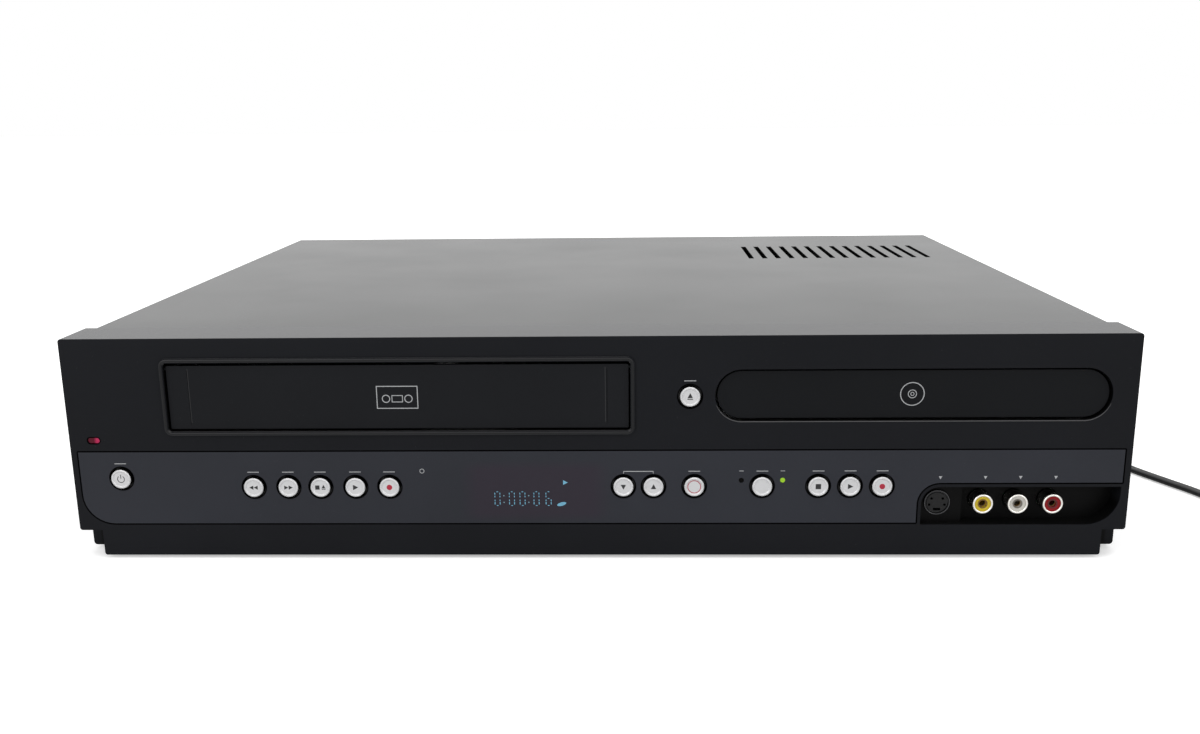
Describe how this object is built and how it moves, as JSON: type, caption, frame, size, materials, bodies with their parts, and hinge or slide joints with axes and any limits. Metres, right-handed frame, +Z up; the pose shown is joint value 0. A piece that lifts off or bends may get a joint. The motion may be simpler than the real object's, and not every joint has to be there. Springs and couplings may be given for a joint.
{
  "type": "dvd vcr combo player",
  "caption": "Flat black cabinet player with a cassette door, a sliding disc tray, round front buttons, front and rear jacks, inner tape and disc mechanisms and a power cord.",
  "frame": {"origin": "centre of the player's footprint on the table, under the feet", "axes": "+X to the right seen from the front, +Y to the back, +Z up; the front faces -Y"},
  "size_m": [0.59, 0.4837, 0.0948],
  "materials": {
    "fascia_black": "fine-textured black moulding",
    "panel_smoke": "smoked satin panel",
    "button_silver": "pale silver lacquer",
    "cover_paint": "black paint, fine leather texture",
    "rear_paint": "satin black paint",
    "zinc_steel": "zinc-plated sheet",
    "screw_black": "black screw",
    "foot_rubber": "matt",
    "lamp_red": "clear red lens",
    "lamp_dark": "unlit lens",
    "lamp_green": "lit lens",
    "display_glass": "display tube",
    "board": "printed board",
    "dark_plastic": "moulded",
    "white_plastic": "acetal",
    "nickel": "nickel plate",
    "insert_yellow": "moulded",
    "insert_white": "moulded",
    "insert_red": "moulded",
    "drum_aluminium": "turned and polished",
    "cord_vinyl": "black vinyl"
  },
  "bodies": {
    "root": {"front_panel": "fascia_black", "control_panel": "panel_smoke", "top_cover": "cover_paint", "rear_panel": "rear_paint", "base_chassis": "zinc_steel", "feet": "foot_rubber", "cover_screws": "screw_black", "power_lamp": "lamp_red", "tape_lamp": "lamp_dark", "disc_lamp": "lamp_green", "display_tube": "display_glass", "key_board": "board", "key_switches": "dark_plastic", "jack_board": "board", "svideo_socket": "dark_plastic", "jack_shells": "nickel", "video_insert": "insert_yellow", "audio_left_insert": "insert_white", "audio_right_insert": "insert_red", "main_board": "board", "power_board": "board", "fan_frame": "dark_plastic", "deck_chassis": "zinc_steel", "lower_drum": "drum_aluminium", "disc_drive_case": "zinc_steel", "pickup_rails": "nickel", "rear_jacks": "dark_plastic", "aerial_jacks": "nickel", "cord_bushing": "cord_vinyl", "power_cord": "cord_vinyl", "cord_coil": "cord_vinyl", "cord_plug": "cord_vinyl"},
    "power_button": {"power_button": "button_silver"},
    "rewind_button": {"rewind_button": "button_silver"},
    "fast_forward_button": {"fast_forward_button": "button_silver"},
    "tape_stop_eject_button": {"tape_stop_eject_button": "button_silver"},
    "tape_play_button": {"tape_play_button": "button_silver"},
    "tape_record_button": {"tape_record_button": "button_silver"},
    "tray_button": {"tray_button": "button_silver"},
    "channel_down_button": {"channel_down_button": "button_silver"},
    "channel_up_button": {"channel_up_button": "button_silver"},
    "dubbing_button": {"dubbing_button": "button_silver"},
    "source_button": {"source_button": "button_silver"},
    "disc_stop_button": {"disc_stop_button": "button_silver"},
    "disc_play_button": {"disc_play_button": "button_silver"},
    "disc_record_button": {"disc_record_button": "button_silver"},
    "cassette_door": {"cassette_door": "fascia_black"},
    "cassette_carriage": {"cassette_carriage": "zinc_steel"},
    "disc_tray": {"disc_tray": "dark_plastic", "tray_front": "fascia_black"},
    "loading_gear": {"loading_gear": "white_plastic"},
    "turntable": {"turntable": "dark_plastic"},
    "disc_clamp": {"disc_clamp": "dark_plastic"},
    "laser_pickup": {"laser_pickup": "dark_plastic"},
    "head_drum": {"head_drum": "drum_aluminium"},
    "capstan": {"capstan": "nickel"},
    "pinch_roller": {"pinch_roller": "foot_rubber"},
    "supply_reel": {"supply_reel": "dark_plastic"},
    "take_up_reel": {"take_up_reel": "dark_plastic"},
    "fan_rotor": {"fan_rotor": "dark_plastic"}
  },
  "joints": [
    {"name": "power_button_press", "type": "slide", "parent": "root", "child": "power_button", "axis": [0, 1, 0], "range_m": [0, 0.0008], "stiffness_N_per_m": 300},
    {"name": "rewind_button_press", "type": "slide", "parent": "root", "child": "rewind_button", "axis": [0, 1, 0], "range_m": [0, 0.0008], "stiffness_N_per_m": 300},
    {"name": "fast_forward_button_press", "type": "slide", "parent": "root", "child": "fast_forward_button", "axis": [0, 1, 0], "range_m": [0, 0.0008], "stiffness_N_per_m": 300},
    {"name": "tape_stop_eject_button_press", "type": "slide", "parent": "root", "child": "tape_stop_eject_button", "axis": [0, 1, 0], "range_m": [0, 0.0008], "stiffness_N_per_m": 300},
    {"name": "tape_play_button_press", "type": "slide", "parent": "root", "child": "tape_play_button", "axis": [0, 1, 0], "range_m": [0, 0.0008], "stiffness_N_per_m": 300},
    {"name": "tape_record_button_press", "type": "slide", "parent": "root", "child": "tape_record_button", "axis": [0, 1, 0], "range_m": [0, 0.0008], "stiffness_N_per_m": 300},
    {"name": "tray_button_press", "type": "slide", "parent": "root", "child": "tray_button", "axis": [0, 1, 0], "range_m": [0, 0.0008], "stiffness_N_per_m": 300},
    {"name": "channel_down_button_press", "type": "slide", "parent": "root", "child": "channel_down_button", "axis": [0, 1, 0], "range_m": [0, 0.0008], "stiffness_N_per_m": 300},
    {"name": "channel_up_button_press", "type": "slide", "parent": "root", "child": "channel_up_button", "axis": [0, 1, 0], "range_m": [0, 0.0008], "stiffness_N_per_m": 300},
    {"name": "dubbing_button_press", "type": "slide", "parent": "root", "child": "dubbing_button", "axis": [0, 1, 0], "range_m": [0, 0.0008], "stiffness_N_per_m": 300},
    {"name": "source_button_press", "type": "slide", "parent": "root", "child": "source_button", "axis": [0, 1, 0], "range_m": [0, 0.0008], "stiffness_N_per_m": 300},
    {"name": "disc_stop_button_press", "type": "slide", "parent": "root", "child": "disc_stop_button", "axis": [0, 1, 0], "range_m": [0, 0.0008], "stiffness_N_per_m": 300},
    {"name": "disc_play_button_press", "type": "slide", "parent": "root", "child": "disc_play_button", "axis": [0, 1, 0], "range_m": [0, 0.0008], "stiffness_N_per_m": 300},
    {"name": "disc_record_button_press", "type": "slide", "parent": "root", "child": "disc_record_button", "axis": [0, 1, 0], "range_m": [0, 0.0008], "stiffness_N_per_m": 300},
    {"name": "cassette_door_swing", "type": "hinge", "parent": "root", "child": "cassette_door", "pos_m": [-0.0803, -0.1719, 0.082], "axis": [1, 0, 0], "range_deg": [0, 85], "stiffness_Nm_per_rad": 0.02, "springref_deg": -11.46},
    {"name": "carriage_slide", "type": "slide", "parent": "root", "child": "cassette_carriage", "axis": [0, 1, 0], "range_m": [0, 0.045]},
    {"name": "tray_slide", "type": "slide", "parent": "root", "child": "disc_tray", "axis": [0, -1, 0], "range_m": [0, 0.14]},
    {"name": "loading_gear_spin", "type": "hinge", "parent": "root", "child": "loading_gear", "pos_m": [0.17805, -0.1498, 0.0645], "axis": [0, 0, 1], "continuous": true},
    {"name": "turntable_spin", "type": "hinge", "parent": "root", "child": "turntable", "pos_m": [0.1282, -0.0918, 0.0675], "axis": [0, 0, 1], "continuous": true},
    {"name": "disc_clamp_spin", "type": "hinge", "parent": "root", "child": "disc_clamp", "pos_m": [0.1282, -0.0918, 0.0775], "axis": [0, 0, 1], "continuous": true},
    {"name": "pickup_slide", "type": "slide", "parent": "root", "child": "laser_pickup", "axis": [0, 1, 0], "range_m": [0, 0.034]},
    {"name": "head_drum_spin", "type": "hinge", "parent": "root", "child": "head_drum", "pos_m": [-0.0863, 0.0122, 0.0415], "axis": [0, 0, 1], "continuous": true},
    {"name": "capstan_spin", "type": "hinge", "parent": "root", "child": "capstan", "pos_m": [-0.0223, -0.0058, 0.0315], "axis": [0, 0, 1], "continuous": true},
    {"name": "pinch_roller_spin", "type": "hinge", "parent": "root", "child": "pinch_roller", "pos_m": [-0.0313, -0.0118, 0.0315], "axis": [0, 0, 1], "continuous": true},
    {"name": "supply_reel_spin", "type": "hinge", "parent": "root", "child": "supply_reel", "pos_m": [-0.1263, -0.0728, 0.0295], "axis": [0, 0, 1], "continuous": true},
    {"name": "take_up_reel_spin", "type": "hinge", "parent": "root", "child": "take_up_reel", "pos_m": [-0.0343, -0.0728, 0.0295], "axis": [0, 0, 1], "continuous": true},
    {"name": "fan_spin", "type": "hinge", "parent": "root", "child": "fan_rotor", "pos_m": [0.118, 0.1592, 0.0535], "axis": [0, 1, 0], "continuous": true}
  ],
  "couplings": [
    {"joint": "loading_gear_spin", "follows": "tray_slide", "rad_per_m": -142.86},
    {"joint": "disc_clamp_spin", "follows": "turntable_spin", "ratio": 1}
  ]
}
